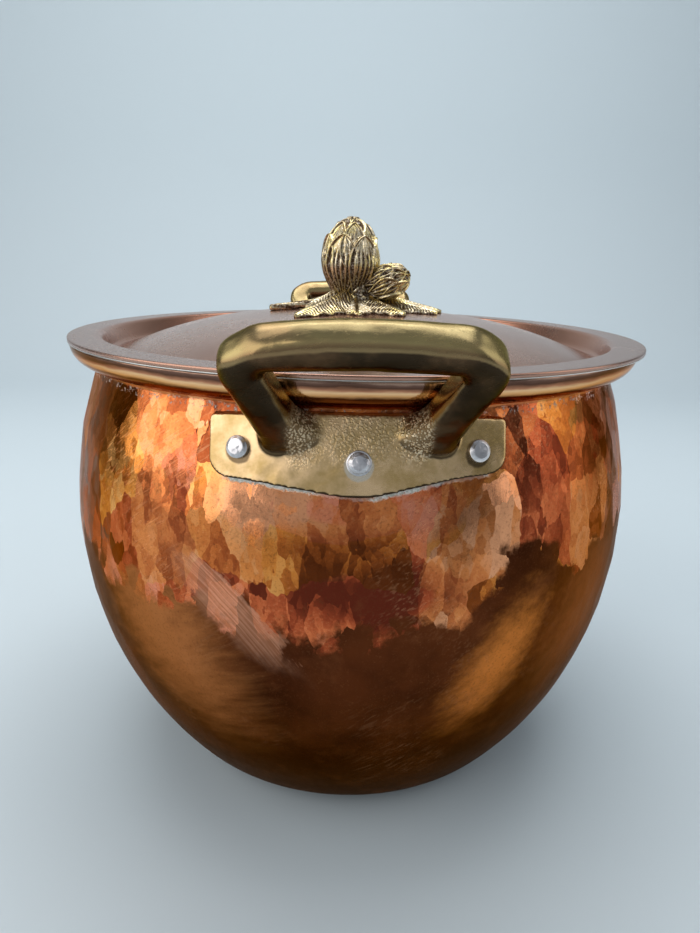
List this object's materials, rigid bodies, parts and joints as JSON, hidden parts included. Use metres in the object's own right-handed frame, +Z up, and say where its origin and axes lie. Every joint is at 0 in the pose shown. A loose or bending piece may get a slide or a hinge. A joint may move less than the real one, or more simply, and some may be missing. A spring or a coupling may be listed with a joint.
{
  "type": "copper stockpot with lid",
  "caption": "Bellied, hammered copper stockpot, tin-lined, with a lift-off domed lid, cast brass loop handles and a cast bud finial.",
  "frame": {"origin": "on the pot's axis, at the flat base that it stands on", "axes": "+Z up along the pot's axis; the front handle faces -Y and the rear handle +Y; the finial's stem points to -X and its small bud to +X"},
  "size_m": [0.2604, 0.3086, 0.252],
  "materials": {
    "copper": "polished",
    "tin": "satin",
    "cast_brass": "satin",
    "rivet": "satin"
  },
  "bodies": {
    "pot": {"pot_body": "copper", "pot_tin_lining": "tin", "front_handle": "cast_brass", "front_side_rivets": "rivet", "front_centre_rivet": "rivet", "rear_handle": "cast_brass", "rear_side_rivets": "rivet", "rear_centre_rivet": "rivet"},
    "lid": {"lid_shell": "copper", "lid_tin_lining": "tin", "finial": "cast_brass", "finial_washer": "rivet", "finial_screw": "rivet"}
  },
  "joints": [
    {"name": "lid_lift", "type": "slide", "parent": "pot", "child": "lid", "axis": [0, 0, 1], "range_m": [0, 0.12]}
  ]
}
